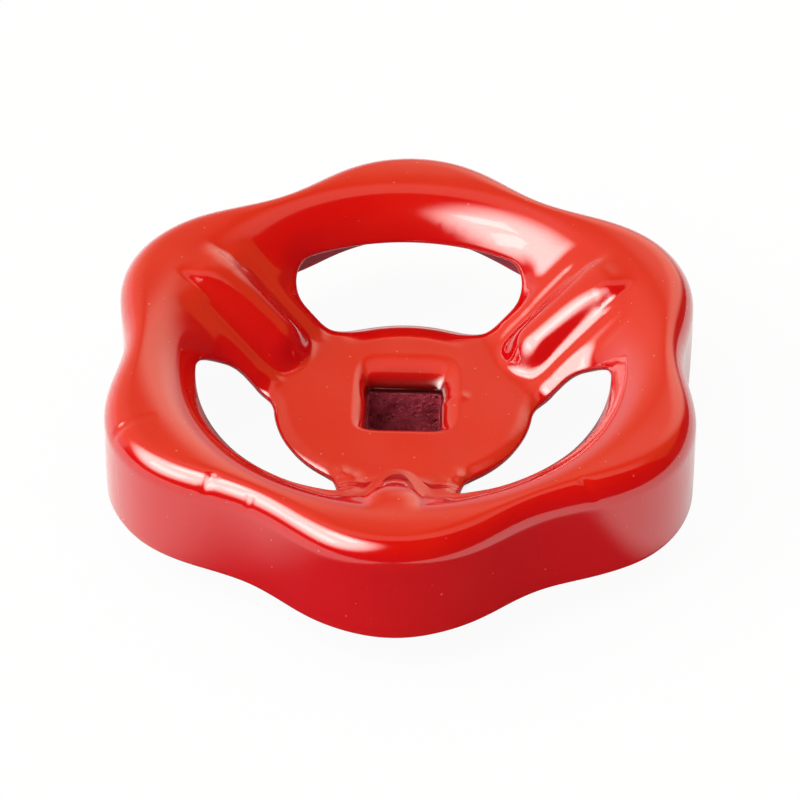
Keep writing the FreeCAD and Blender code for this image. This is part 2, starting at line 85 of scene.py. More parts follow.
# %% [markdown]
# ## Nodes in few words
# A node tree made in a script reads best with each formula on one line. These helpers add nodes to
# the tree that their sockets belong to and hand back the output, so that calls nest like sums.

# %% Helpers for node trees
def join(value, socket):
    """Links a socket, or sets a plain value."""
    if isinstance(value, bpy.types.NodeSocket):
        socket.id_data.links.new(value, socket)
    else:
        socket.default_value = value


def add_node(kind, values, **settings):
    """One node in the tree that its sockets belong to, with values for its first inputs."""
    tree = next(v.id_data for v in values if isinstance(v, bpy.types.NodeSocket))
    node = tree.nodes.new("ShaderNode" + kind)
    for name, setting in settings.items():
        setattr(node, name, setting)
    for value, socket in zip(values, node.inputs):
        join(value, socket)
    return node


def calc(operation, *values, clamp=False):
    """One Math node."""
    return add_node("Math", values, operation=operation, use_clamp=clamp).outputs[0]


plus, minus, times = (partial(calc, name) for name in ("ADD", "SUBTRACT", "MULTIPLY"))


def vector_calc(operation, *values):
    """One Vector Math node. Its output is the number for a length or a dot product."""
    node = add_node("VectorMath", values, operation=operation)
    return node.outputs["Value" if operation in ("LENGTH", "DOT_PRODUCT") else "Vector"]


def combine(x, y, z):
    """One Combine XYZ node."""
    return add_node("CombineXYZ", (x, y, z)).outputs[0]


def separate(vector):
    """One Separate XYZ node."""
    return add_node("SeparateXYZ", (vector,)).outputs


def ease(value, start, end):
    """Rises smoothly from 0 at start to 1 at end."""
    return add_node("MapRange", (value, start, end), interpolation_type="SMOOTHSTEP").outputs[0]


def between(factor, low, high):
    """Goes from low to high as the factor goes from 0 to 1."""
    return plus(low, times(factor, high - low))


# %% [markdown]
# ## Finishes
# Both finishes need small spots, for pits and for dust caught in the paint, and a slow change over
# the surface. Each of these is one shader group, which a material places with its own values. The
# groups put out only a mask, and the shader stays in the material.

# %% Shader groups: pits and slow change
def add_inputs(tree, values):
    """Named number inputs for a node group."""
    for label, value in values.items():
        socket = tree.interface.new_socket(label, in_out="INPUT", socket_type="NodeSocketFloat")
        socket.default_value = value
    return tree.nodes.new("NodeGroupInput").outputs


def start_group(name, **values):
    """A shader group with number inputs and one mask as its output."""
    group = bpy.data.node_groups.new(name, "ShaderNodeTree")
    group.interface.new_socket("Mask", in_out="OUTPUT", socket_type="NodeSocketFloat")
    mask = group.nodes.new("NodeGroupOutput").inputs["Mask"]
    return group, add_inputs(group, values), mask


def fill(node, values):
    """Gives inputs of a node their values, by label."""
    for label, value in values.items():
        join(value, node.inputs[label])
    return node


def object_place(tree):
    """Object coordinates, in metres."""
    return tree.nodes.new("ShaderNodeTexCoord").outputs["Object"]


def noise(tree, scale, detail, roughness=0.5):
    """One Noise Texture in object coordinates, as a number."""
    return fill(tree.nodes.new("ShaderNodeTexNoise"), {
        "Vector": object_place(tree), "Scale": scale, "Detail": detail,
        "Roughness": roughness}).outputs[0]


def pits_group():
    """Scattered round spots: a share of the cells of a Voronoi pattern holds one each."""
    group, size, mask = start_group("pits_and_dust", Spacing=1.2 * mm, Share=0.2, Spot=0.12)
    cells = fill(group.nodes.new("ShaderNodeTexVoronoi"), {
        "Vector": object_place(group), "Scale": calc("DIVIDE", 1.0, size["Spacing"])})
    parts = separate(cells.outputs["Color"])
    chosen = calc("LESS_THAN", parts[0], size["Share"])
    reach = times(size["Spot"], plus(0.4, parts[1]))
    spot = minus(1.0, ease(cells.outputs["Distance"], 0.0, reach))
    join(times(chosen, spot), mask)
    return group


def drift_group():
    """A slow change between 0 and 1 over the surface."""
    group, size, mask = start_group("slow_change", Size=20 * mm, Low=0.35, High=0.65)
    pattern = noise(group, calc("DIVIDE", 1.0, size["Size"]), 3.0)
    join(ease(pattern, size["Low"], size["High"]), mask)
    return group


pits = pits_group()
drift = drift_group()
print("shader groups:", pits.name, drift.name)

# %% [markdown]
# A material mixes its colours by such masks. A Bump node shows the pits: it only bends the light,
# because such small holes would cost too many triangles as real ones.

# %% Helpers for materials
def place_group(tree, group, **values):
    """Puts a shader group in a tree and returns its mask."""
    node = tree.nodes.new("ShaderNodeGroup")
    node.node_tree = group
    return fill(node, values).outputs["Mask"]


def blend(factor, first, second):
    """Mixes two colours."""
    node = add_node("Mix", (factor,), data_type="RGBA")
    join(first, node.inputs[6])
    join(second, node.inputs[7])
    return node.outputs[2]


def bump(height, distance):
    """One Bump node. The distance is in metres."""
    node = height.id_data.nodes.new("ShaderNodeBump")
    return fill(node, {"Height": height, "Distance": distance}).outputs["Normal"]


def new_material(name):
    """A material with its tree and its Principled shader."""
    material = bpy.data.materials.new(name)
    material.use_nodes = True
    return material, material.node_tree, material.node_tree.nodes["Principled BSDF"]


# %% [markdown]
# ## The enamel
# The enamel is a thick glossy red. Its colour holds painted light: a painted sheen makes it lighter
# and more orange on level faces, and painted shade makes it deeper crimson on hanging ones and dark
# down in the socket's mouth. It pools in places and carries tiny pits and dust. On the inside of the
# sheet it is duller, and painted darker and bluer as painted shade and a painted reflection of the
# floor. The gloss is a clear coat over a coloured ground, as in real enamel.

# %% Red enamel
# Painted light: the level faces' lighter orange red stands for a sheen, and the hanging faces'
# crimson stands for shade.
painted_sheen_red, painted_shade_red = (0.68, 0.001, 0.0002, 1), (0.6, 0.0004, 0.006, 1)
# Painted shade and reflection: this darker, bluer pair colours the inner side of the sheet.
underside_shade_red, underside_hanging_shade_red = (0.5, 0.03, 0.05, 1), (0.46, 0.05, 0.09, 1)
haze_red = (0.7, 0.005, 0.001, 1)
dust_pink = (0.9, 0.25, 0.18, 1)
mouth_painted_shade = (0.055, 0.0, 0.0, 1)
coat_tint = (1, 0.93, 0.72, 1)


def paint_colour(tree, level, hanging, dust):
    """Painted sheen and shade: lighter orange red on level faces, deeper crimson on hanging ones,
    with haze, dust and painted shade in the mouth.
    """
    facing = separate(tree.nodes.new("ShaderNodeNewGeometry").outputs["Normal"])[2]
    slow = place_group(tree, drift, Size=14 * mm)
    # Painted sheen and shade: the more a face looks upwards, the lighter and more orange it is
    # painted, and only there does the haze show.
    sheen_share = plus(ease(facing, 0.1, 0.95), times(slow, 0.15), clamp=True)
    red = blend(sheen_share, hanging, level)
    haze = place_group(tree, drift, Size=11 * mm, Low=0.42, High=0.7)
    red = blend(times(haze, sheen_share), red, haze_red)
    red = blend(times(dust, 0.6), red, dust_pink)
    x, y, z = separate(object_place(tree))
    from_axis = vector_calc("LENGTH", combine(x, y, 0.0))
    # Painted shade: the enamel is painted dark down in the socket's mouth, where the recess lies in
    # shade.
    mouth = times(ease(from_axis, 7.2 * mm, 6.2 * mm), ease(z, 8.1 * mm, 6.4 * mm))
    return blend(mouth, red, mouth_painted_shade)


def enamel(name, level, hanging, rough, coat):
    """Glossy paint: a coloured ground, a clear coat over it, and an uneven skin with pits."""
    material, tree, shader = new_material(name)
    dust = place_group(tree, pits, Spacing=1.3 * mm, Share=0.45, Spot=0.12)
    pores = place_group(tree, pits, Spacing=3.1 * mm, Share=0.3, Spot=0.09)
    scuffed = place_group(tree, drift, Size=6 * mm, Low=0.6, High=0.78)
    skin = noise(tree, 420.0, 2.0)
    height = plus(times(skin, 0.35), minus(times(dust, 0.5), pores))
    fill(shader, {"Base Color": paint_colour(tree, level, hanging, dust),
                  "Roughness": plus(rough, times(scuffed, 0.06)),
                  "Coat Weight": coat, "Coat Roughness": 0.06, "Coat IOR": 1.65,
                  "Specular IOR Level": 0.25, "Specular Tint": coat_tint,
                  "Normal": bump(height, 0.06 * mm)})
    return material


red_enamel = enamel("red_enamel", painted_sheen_red, painted_shade_red, 0.2, 1.0)
# Painted shade: the inner side's copy of the enamel is painted darker and bluer.
shaded_enamel = enamel("shaded_enamel", underside_shade_red, underside_hanging_shade_red, 0.4, 0.2)
print("enamel:", len(red_enamel.node_tree.nodes), "nodes")

# %% [markdown]
# ## The bare steel
# The bush was never painted. Its bore is rough steel, grey with a purple cast that is partly a
# painted reflection of the red enamel all round it, and it's full of small dark pits. It's only
# partly metallic here, because its thin oxide reflects less than clean metal does.

# %% Bare steel
# Painted reflection: part of the purple cast in these steel colours stands for the red enamel round
# the bore.
dark_steel, pale_steel = (0.33, 0.014, 0.035, 1), (0.55, 0.06, 0.1, 1)
pit_black = (0.03, 0.003, 0.006, 1)


def bare_steel():
    """Rough steel that was never painted, pitted and with a fine grain."""
    material, tree, shader = new_material("bare_steel")
    slow = place_group(tree, drift, Size=2 * mm)
    holes = place_group(tree, pits, Spacing=0.5 * mm, Share=0.5, Spot=0.42)
    metal = blend(times(holes, 0.8), blend(slow, dark_steel, pale_steel), pit_black)
    height = minus(times(noise(tree, 2300.0, 4.0, 0.65), 0.8), holes)
    fill(shader, {"Base Color": metal, "Metallic": 0.4, "Roughness": between(slow, 0.35, 0.6),
                  "Normal": bump(height, 0.6 * mm)})
    return material


steel = bare_steel()
print("bare steel:", len(steel.node_tree.nodes), "nodes")

# %% [markdown]
# ## The flat blank
# A press starts from a flat sheet. This one has three windows and a pilot hole in it, and its edge
# is further out than the finished wheel's, because the skirt still lies flat. Each window is drawn
# from lines and arcs that touch: the rim's arc, the sides of two arms, the hub's arc, and a fillet
# in each corner.

# %% The windows' outline
third = 2 * math.pi / 3
arm_turn = math.radians(30)
window_radius = 22.7 * mm
hub_radius = 14.6 * mm
arm_half = 6.8 * mm
window_corner = 3.3 * mm
root_corner = 4.6 * mm
edge_round = 0.34 * mm
outline_step = 0.3 * mm


def polar(radius, angle):
    """Points in plan from their distance and angle."""
    return np.stack([radius * np.cos(angle), radius * np.sin(angle)], axis=1)


def arc(centre, radius, start, end, step):
    """Points along an arc, its end left out."""
    count = max(2, int(abs(end - start) * radius / step))
    return centre + polar(radius, start + (end - start) * np.arange(count) / count)


def window_outline(grow, step=outline_step):
    """The back window, centred on +Y, grown by a margin into the sheet."""
    outer, hub = window_radius + grow, hub_radius - grow
    big, root = window_corner + grow, root_corner + grow
    side = arm_half - grow
    along = np.array([math.cos(arm_turn), math.sin(arm_turn)])
    across = np.array([-math.sin(arm_turn), math.cos(arm_turn)])
    far = along * math.sqrt((outer - big) ** 2 - (side + big) ** 2) + across * (side + big)
    near = along * math.sqrt((hub + root) ** 2 - (side + root) ** 2) + across * (side + root)
    far_angle, near_angle = (math.atan2(y, x) for x, y in (far, near))
    half = np.concatenate([
        arc(np.zeros(2), hub, math.pi / 2, near_angle, step),
        arc(near, root, near_angle + math.pi, arm_turn + 1.5 * math.pi, step),
        arc(far, big, arm_turn - math.pi / 2, far_angle, step),
        arc(np.zeros(2), outer, far_angle, math.pi / 2, step),
        np.array([[0.0, outer]]),
    ])
    mirrored = (half * (-1, 1))[::-1][1:-1]
    return np.concatenate([half, mirrored])


def turned(points, angle):
    """Points turned about the axis."""
    c, s = math.cos(angle), math.sin(angle)
    return points @ np.array([[c, s], [-s, c]])


def three_windows(grow):
    """The outlines of all the windows, grown by a margin."""
    return [turned(window_outline(grow), k * third) for k in range(3)]


print("points round a window:", len(window_outline(edge_round)))

# %% [markdown]
# ## The mouth's outline
# The stem's square is drawn down from the hub, and its roll starts along a much rounder line, wider
# at the back. Both are power curves, whose corners are round or sharp by a single number.

# %% The mouth's outline
roll_corner, roll_points = 0.62, 160
roll_left, roll_right, roll_front, roll_back = 5.6 * mm, 6.2 * mm, 5.2 * mm, 8.3 * mm


def round_angles(count):
    """Even angles once round the axis."""
    return 2 * math.pi * np.arange(count) / count


def square_radius(angle, half, corner):
    """Distance from the axis to a square with rounded corners, as a power curve."""
    power = 2 / (1 - corner)
    c, s = np.abs(np.cos(angle)), np.abs(np.sin(angle))
    return half / (c ** power + s ** power) ** (1 / power)


def mouth_loop(grow):
    """Where the rolled mouth starts on the hub, grown by a margin."""
    angle = round_angles(roll_points)
    x, y = polar(square_radius(angle, 1.0, roll_corner), angle).T
    x = np.where(x < 0, x * roll_left, x * roll_right)
    y = np.where(y < 0, y * roll_front, y * roll_back)
    points = np.stack([x, y], axis=1)
    return points * (1 + grow / np.linalg.norm(points, axis=1))[:, None]


print("points round the mouth:", len(mouth_loop(0)))

# %% [markdown]
# ## Cutting the blank
# The inner part of the blank is a triangle net with the window edges and the hole's edge as fixed
# lines in it. Two rows of points follow each window, so that its turned-down edge gets even
# triangles, and the rest is an even lattice. A constrained triangulation joins it all. Triangles
# suit this part, because the windows and beads run in all directions.

# %% Cut the net
ring_start = 24.4 * mm
ring_points = 480
net_step = 0.35 * mm
clearance = 0.6 * net_step
window_rows = ((0.22 * mm, 0.3 * mm), (0.5 * mm, 0.34 * mm))
mouth_margin = 0.3 * mm


def inside(points, loop):
    """Which points lie inside a closed loop."""
    x, y = points[:, :1], points[:, 1:]
    (x0, y0), (x1, y1) = loop.T, np.roll(loop, -1, axis=0).T
    crosses = (y0 > y) != (y1 > y)
    with np.errstate(divide="ignore", invalid="ignore"):
        at = x0 + (y - y0) * (x1 - x0) / (y1 - y0)
    return (np.sum(crosses & (x < at), axis=1) % 2) == 1


def nearest(points, loop):
    """Distance from each point to the nearest point of a loop."""
    gaps = points[:, None, :] - loop[None, :, :]
    return np.sqrt((gaps ** 2).sum(axis=2)).min(axis=1)


def lattice_points(rows):
    """An even triangle lattice that keeps clear of the loops and of the rows beside them."""
    count = int(2 * ring_start / net_step)
    i, j = np.meshgrid(np.arange(-count, count), np.arange(-count, count))
    points = np.stack([(i + 0.5 * (j % 2)).ravel(), (j * math.sqrt(0.75)).ravel()], axis=1)
    points = points * net_step
    points = points[np.linalg.norm(points, axis=1) < ring_start - clearance]
    for loop in [mouth_loop(mouth_margin)] + three_windows(edge_round + window_rows[-1][0]):
        points = points[~inside(points, loop)]
    return points[nearest(points, np.concatenate(rows)) > clearance]


def loop_edges(loops):
    """The edges round each loop, for points that are numbered loop after loop."""
    edges, start = [], 0
    for loop in loops:
        ids = np.arange(start, start + len(loop))
        edges += list(zip(ids.tolist(), np.roll(ids, -1).tolist()))
        start += len(loop)
    return edges


def flat_net():
    """Points, triangles and the loops of the blank's inner part."""
    rim = polar(ring_start, round_angles(ring_points))
    mouth, windows = mouth_loop(0), three_windows(edge_round)
    loops = [rim, mouth] + windows
    rows = [turned(window_outline(edge_round + gap, step), k * third)
            for k in range(3) for gap, step in window_rows]
    rows.append(mouth_loop(mouth_margin))
    points = np.concatenate(loops + rows + [lattice_points(rows)])
    points, _, faces, _, _, _ = geometry.delaunay_2d_cdt(
        [Vector(p) for p in points / mm], loop_edges(loops), [], 0, 1e-5)
    points = np.array([tuple(p) for p in points]) * mm
    faces = np.array(faces)
    for hole in [mouth] + windows:
        faces = faces[~inside(points[faces].mean(axis=1), hole)]
    return points, faces, rim, mouth, windows


net_points, net_faces, rim_loop, mouth_edge, window_loops = flat_net()
print("net:", len(net_points), "points,", len(net_faces), "triangles")

# %% [markdown]
# ## The ring round the net
# The ring only bends over the crown and runs down the skirt, so plain rows continue outwards from
# the net: those of the crown, of the outer bend and of the skirt. Each point keeps three numbers:
# how far it is across, round and down these. The net has zero in all three.

# %% Add the ring that becomes crown, bend and skirt
crown_rows, bend_rows, skirt_rows = 20, 16, 26
flat_crown, flat_bend, flat_skirt = 6, 7, 11  # widths on the flat sheet, in mm
stage_names = ("across_crown", "round_bend", "down_skirt")


def new_mesh_object(name, points, faces):
    """A mesh object at the origin, with smooth faces."""
    mesh = bpy.data.meshes.new(name)
    mesh.from_pydata([tuple(p) for p in points], [], [tuple(int(i) for i in f) for f in faces])
    mesh.validate()
    mesh.shade_smooth()
    piece = bpy.data.objects.new(name, mesh)
    bpy.context.scene.collection.objects.link(piece)
    return piece


def ids_of(wanted, points):
    """The number of the point that lies at each wanted place in plan."""
    return [int(np.abs(points[:, :2] - place).sum(axis=1).argmin()) for place in wanted]


def band(first, second):
    """The faces between two closed rows of points."""
    ahead = list(range(1, len(first))) + [0]
    return [(first[k], second[k], second[n], first[n]) for k, n in enumerate(ahead)]


def shares(count):
    """Even shares of 1, the last one being 1 itself."""
    return np.arange(1, count + 1) / count


def ring_rows():
    """For each row: how far it is across the crown, round the bend and down the skirt."""
    rows = [(t, 0, 0) for t in shares(crown_rows)] + [(1, t, 0) for t in shares(bend_rows)]
    return rows + [(1, 1, t) for t in shares(skirt_rows)]


def add_numbers(mesh, label, values):
    """Stores one number on each point."""
    mesh.attributes.new(label, "FLOAT", "POINT").data.foreach_set("value", values)


def make_blank(name):
    """The net and the ring in one flat mesh, with its numbers as attributes."""
    points = [tuple(p) + (0.0,) for p in net_points]
    faces = [tuple(f) for f in net_faces]
    stages = [(0.0, 0.0, 0.0)] * len(points)
    last = ids_of(rim_loop, net_points)
    for across, bend, drop in ring_rows():
        reach = ring_start + (flat_crown * across + flat_bend * bend + flat_skirt * drop) * mm
        scale = reach / ring_start
        ids = list(range(len(points), len(points) + ring_points))
        points += [(p[0] * scale, p[1] * scale, 0.0) for p in rim_loop]
        stages += [(across, bend, drop)] * ring_points
        faces += band(last, ids)
        last = ids
    blank = new_mesh_object(name, points, faces)
    for label, values in zip(stage_names, zip(*stages)):
        add_numbers(blank.data, label, values)
    edge = np.concatenate(window_loops)
    parts = np.array_split(np.array(points)[:, :2], 60)
    add_numbers(blank.data, "edge_distance", np.concatenate([nearest(p, edge) for p in parts]))
    return blank


wheel = make_blank("pressed_wheel")
print("flat blank:", len(wheel.data.vertices), "points, radius",
      round(max(v.co.length for v in wheel.data.vertices) / mm, 1), "mm")

# %% [markdown]
# ## Pressing the sheet
# The wheel's shape follows rules, so Geometry Nodes press it. The outline is a circle with a wave
# of six lobes. Across the wheel the sheet lies flat on the hub, climbs a 39 degree slope, levels
# out in the crown, bends over and hangs down as the skirt. The tool's sizes are the tree's inputs.

# %% The tool's sizes
tool_sizes = {
    "Outline Radius": 33.19 * mm, "Lobe Wave": 0.0587, "Second Wave": 0.0042,
    "Hub Level": 8.2 * mm, "Hub Bend": 1.1 * mm,
    "Slope Start": 15.7 * mm, "Slope Rise": math.tan(math.radians(39)),
    "Arm Start": 14.1 * mm, "Arm Rise": math.tan(math.radians(37)),
    "Crown Level": 17.5 * mm, "Crown Bend": 4.0 * mm,
    "Outer Bend": 3.0 * mm, "Rim Blend": 0.8 * mm, "Skirt Edge": 4.95 * mm,
    "Bead Start": 15.7 * mm, "Bead End Steepness": 1.3, "Bead Half": 3.2 * mm,
    "Bead Top": 3.0, "Bead Foot": 1.3, "Bead Height": 2.5 * mm, "Bead Fall": 0.11,
    "Channel Line": 3.6 * mm, "Channel Spread": 0.07,
    "Channel Half": 0.65 * mm, "Channel Depth": 0.17 * mm,
    "Hub Edge Turn": 0.42 * mm, "Hub Edge Width": 1.5 * mm,
    "Rim Edge Turn": 1.0 * mm, "Rim Edge Width": 2.3 * mm,
}


def stored(tree, label):
    """A number stored on the points."""
    node = fill(tree.nodes.new("GeometryNodeInputNamedAttribute"), {"Name": label})
    return node.outputs["Attribute"]


print("sizes of the press tool:", len(tool_sizes))

# %% [markdown]
# ## The plan
# The outline's radius falls and rises six times round the wheel, and a small second wave makes the
# lobes fuller than the hollows. The outer bend follows the outline's own normal, so that the skirt
# stands the same distance outside the crown all the way round.

# %% The plan: lobes, and how far the bend reaches out
def scaled(vector, factor):
    """A vector times a number."""
    return vector_calc("MULTIPLY", vector, combine(factor, factor, factor))


def lobed_plan(size, x, y):
    """Which way is outward, the outline's normal, and where the outer bend starts."""
    angle = calc("ARCTAN2", y, x)
    share, steep = 0.0, 0.0
    for label, lobes in (("Lobe Wave", 6.0), ("Second Wave", 12.0)):
        turn = times(angle, lobes)
        share = plus(share, times(calc("COSINE", turn), size[label]))
        steep = plus(steep, times(times(size[label], lobes), calc("SINE", turn)))
    radius = times(size["Outline Radius"], minus(1.0, share))
    steep = times(size["Outline Radius"], steep)
    outward = combine(calc("COSINE", angle), calc("SINE", angle), 0.0)
    sideways = vector_calc("CROSS_PRODUCT", (0.0, 0.0, 1.0), outward)
    edge = scaled(outward, radius)
    normal = vector_calc("NORMALIZE", vector_calc("SUBTRACT", edge, scaled(sideways, steep)))
    bend_start = vector_calc("SUBTRACT", edge, scaled(normal, size["Outer Bend"]))
    return outward, normal, bend_start


def formed_plan(size, place, across, quarter):
    """Where a point comes to lie in plan. The net stays, and the ring's rows follow the lobes."""
    outward, normal, bend_start = lobed_plan(size, place[0], place[1])
    flat = combine(place[0], place[1], 0.0)
    in_ring = calc("GREATER_THAN", across, 0.0)
    start = scaled(outward, times(ring_start, minus(1.0, across)))
    crown = vector_calc("ADD", start, scaled(bend_start, across))
    out = scaled(normal, times(size["Outer Bend"], calc("SINE", quarter)))
    ring = vector_calc("ADD", crown, out)
    return vector_calc("ADD", scaled(ring, in_ring), scaled(flat, minus(1.0, in_ring)))


# %% [markdown]
# ## The arms and their beads
# Each arm has its own slope, a little flatter than the rest, and carries a raised bead with a
# shallow channel on each side, which stiffens it. The bead starts steeply at the hub and runs out
# into the crown. Distances along and beside the nearest arm describe all three arms at once.

# %% The arms: slope, bead and channels
arm_side = (8.0 * mm, 5.2 * mm)
arm_end = (27 * mm, 25 * mm)
bead_run_out = (29 * mm, 26 * mm)
channel_origin = 14 * mm
channel_start = (13.3 * mm, 14.3 * mm)
channel_end = (22.4 * mm, 25.0 * mm)


def arm_place(radius, angle):
    """How far a point is along its nearest arm, and how far beside the arm's middle."""
    turn = minus(angle, arm_turn - third / 2)
    turn = minus(calc("FLOORED_MODULO", turn, third), third / 2)
    return times(radius, calc("COSINE", turn)), times(radius, calc("SINE", turn))


def ramp(size, label, distance):
    """A straight climb from the hub's level."""
    far = minus(distance, size[label + " Start"])
    return plus(size["Hub Level"], times(far, size[label + " Rise"]))


def bead_height(size, along, across):
    """How far each arm's bead stands up."""
    over = calc("MAXIMUM", minus(size["Bead Start"], along), 0.0)
    over = times(over, size["Bead End Steepness"])
    reach = calc("SQRT", plus(calc("POWER", over, 2.0), calc("POWER", across, 2.0)))
    share = calc("POWER", calc("DIVIDE", reach, size["Bead Half"]), size["Bead Top"])
    dome = calc("POWER", calc("MAXIMUM", minus(1.0, share), 0.0), size["Bead Foot"])
    fall = times(size["Bead Fall"], minus(along, size["Bead Start"]))
    top = times(dome, minus(size["Bead Height"], fall))
    return times(top, ease(along, *bead_run_out))


def channel_depth(size, along, across):
    """How deep the channels beside the bead are. They spread a little towards the crown."""
    line = plus(size["Channel Line"], times(minus(along, channel_origin), size["Channel Spread"]))
    off = calc("ABSOLUTE", minus(calc("ABSOLUTE", across), line))
    depth = minus(1.0, ease(off, 0.0, size["Channel Half"]))
    depth = times(depth, ease(along, *channel_start))
    depth = times(depth, minus(1.0, ease(along, *channel_end)))
    return times(depth, size["Channel Depth"])


# %% [markdown]
# ## The section
# A press leaves no creases, so smooth minimum and maximum nodes join the stretches. The dish is the
# higher of hub and slope, limited by the crown. The rim is the crown with its bend and skirt. The
# lower of the two is the sheet's level, less the turned-down edge round each window.

# %% The section: dish, rim and window edges
edge_change = (17.5 * mm, 21.5 * mm)


def dish_level(size, radius, angle):
    """The level of hub, slope, arms and beads, up to the crown."""
    along, across = arm_place(radius, angle)
    on_arm = times(ease(calc("ABSOLUTE", across), *arm_side), ease(radius, *arm_end))
    slope = ramp(size, "Slope", radius)
    change = minus(ramp(size, "Arm", along), slope)
    slope = plus(slope, times(on_arm, change))
    dish = calc("SMOOTH_MAX", slope, size["Hub Level"], size["Hub Bend"])
    dish = plus(dish, bead_height(size, along, across))
    dish = minus(dish, channel_depth(size, along, across))
    return calc("SMOOTH_MIN", dish, size["Crown Level"], size["Crown Bend"])


def rim_level(size, quarter, drop):
    """The level of crown, outer bend and skirt."""
    fall = times(size["Outer Bend"], minus(1.0, calc("COSINE", quarter)))
    hang = minus(minus(size["Crown Level"], size["Outer Bend"]), size["Skirt Edge"])
    return minus(minus(size["Crown Level"], fall), times(drop, hang))


def edge_turn(size, radius, distance):
    """How far the sheet is turned down near a window: wider at the rim than at the hub."""
    side = ease(radius, *edge_change)
    width, deep = (plus(size["Hub Edge " + part], times(side, minus(
        size["Rim Edge " + part], size["Hub Edge " + part]))) for part in ("Width", "Turn"))
    near = calc("MINIMUM", 1.0, calc("DIVIDE", distance, width))
    return times(calc("POWER", minus(1.0, near), 2.0), deep)


def finish_tree(tree, shape, position):
    """Moves the points, then makes the faces smooth, realises the instances and sets the material.
    Moves the points, then ends as the export needs.
    """
    for kind, values in (("SetPosition", {"Position": position}), ("SetShadeSmooth", {}),
                         ("RealizeInstances", {}), ("SetMaterial", {"Material": red_enamel})):
        node = fill(tree.nodes.new("GeometryNode" + kind), {"Geometry": shape, **values})
        shape = node.outputs["Geometry"]
    join(shape, tree.nodes.new("NodeGroupOutput").inputs["Geometry"])


def press_tree():
    """Turns the flat blank into the pressed sheet's upper side."""
    tree = bpy.data.node_groups.new("press_wheel", "GeometryNodeTree")
    for side in ("INPUT", "OUTPUT"):
        tree.interface.new_socket("Geometry", in_out=side, socket_type="NodeSocketGeometry")
    size = add_inputs(tree, tool_sizes)
    place = separate(tree.nodes.new("GeometryNodeInputPosition").outputs[0])
    across, bend, drop = (stored(tree, label) for label in stage_names)
    quarter = times(bend, math.pi / 2)
    plan = formed_plan(size, place, across, quarter)
    x, y, _ = separate(plan)
    radius = vector_calc("LENGTH", plan)
    dish = dish_level(size, radius, calc("ARCTAN2", y, x))
    rim = rim_level(size, quarter, drop)
    height = calc("SMOOTH_MIN", dish, rim, size["Rim Blend"])
    height = minus(height, edge_turn(size, radius, stored(tree, "edge_distance")))
    finish_tree(tree, size["Geometry"], combine(x, y, height))
    return tree


# %% [markdown]
# ## The stroke of the press
# The tree runs once on the blank, and its result is kept as a plain mesh, because the next steps
# move its points and other programs have to read it.

# %% Press it
def run_press(piece):
    """Runs the tree and keeps the result as a plain mesh."""
    tree = press_tree()
    press = piece.modifiers.new("press", "NODES")
    press.node_group = tree
    for item in tree.interface.items_tree:
        if item.in_out == "INPUT" and item.name in tool_sizes:
            press[item.identifier] = tool_sizes[item.name]
    graph = bpy.context.evaluated_depsgraph_get()
    flat = piece.data
    piece.data = bpy.data.meshes.new_from_object(piece.evaluated_get(graph))
    piece.modifiers.remove(press)
    bpy.data.meshes.remove(flat)
    return len(tree.nodes)


def print_box(label, places):
    """Prints the box round some points, in millimetres."""
    print(label, (places.min(axis=0) / mm).round(2), (places.max(axis=0) / mm).round(2))


print("press tree:", run_press(wheel), "nodes")
places = np.array([tuple(v.co) for v in wheel.data.vertices])
print_box("pressed box in mm:", places)

# %% [markdown]
# ## Signs of hand work
# A pressed wheel is never as even as its tool. The hub's back edge is pulled down over a wide band,
# the hub and the crown stay slightly wavy, and the skirt was trimmed by hand, so its lower edge
# wanders. These are single places, so they're set point by point.

# %% The pulled edge, the waves and the trimmed skirt
def smooth_step(value, start, end):
    """0 at start, 1 at end, smooth between."""
    t = np.clip((value - start) / (end - start), 0, 1)
    return t * t * (3 - 2 * t)


def waves(places, length, seed):
    """Slow noise between about -1 and 1 at each point."""
    shift = Vector((seed, 2.0 * seed, 3.0 * seed))
    return np.array([solid_noise.noise(Vector(p) / length + shift) for p in places])


def pull_back_edge(places, radius):
    """The hub's back edge, drawn down and a little outwards."""
    width, drop, pull = 3.2 * mm, 1.15 * mm, 1.1 * mm
    off_back = np.abs(np.arctan2(places[:, 0], places[:, 1]))
    share = np.clip(1 - (hub_radius - radius) / width, 0, 1)
    share *= (radius < 15.5 * mm) * (1 - smooth_step(off_back, 0.3, 0.62))
    places[:, 2] -= drop * share ** 1.25
    places[:, :2] *= (1 + pull * share / np.maximum(radius, mm))[:, None]


def wave_surfaces(places, radius):
    """The crown sinks a little here and there, and the hub isn't quite flat."""
    crown = smooth_step(places[:, 2], 12 * mm, 15 * mm)
    places[:, 2] -= (0.05 + 0.05 * waves(places, 11 * mm, 3.1)) * mm * crown
    hub = 1 - smooth_step(radius, 14 * mm, 17 * mm)
    places[:, 2] += 0.03 * mm * hub * waves(places, 6 * mm, 5.7)


def trim_skirt(places, radius):
    """The skirt's lower edge wanders, and the skirt leans in unevenly."""
    skirt = (1 - smooth_step(places[:, 2], 5 * mm, 9 * mm)) * (radius > 28 * mm)
    places[:, 2] += skirt * (0.16 + 0.2 * waves(places, 7 * mm, 8.3)) * mm
    outward = places[:, :2] / radius[:, None]
    lean = 0.1 * (1 + waves(places, 9 * mm, 2.2)) * smooth_step(radius, 28 * mm, 31 * mm)
    places[:, :2] -= outward * (lean * mm)[:, None]


radius = np.hypot(places[:, 0], places[:, 1])
for work in (pull_back_edge, wave_surfaces, trim_skirt):
    work(places, radius)
print_box("worked box in mm:", places)

# %% [markdown]
# ## Paint runs and nicks
# The paint ran into a few low lumps before it dried, and years of use left nicks in the rim. They
# change the real surface, so that they catch the light from every side.

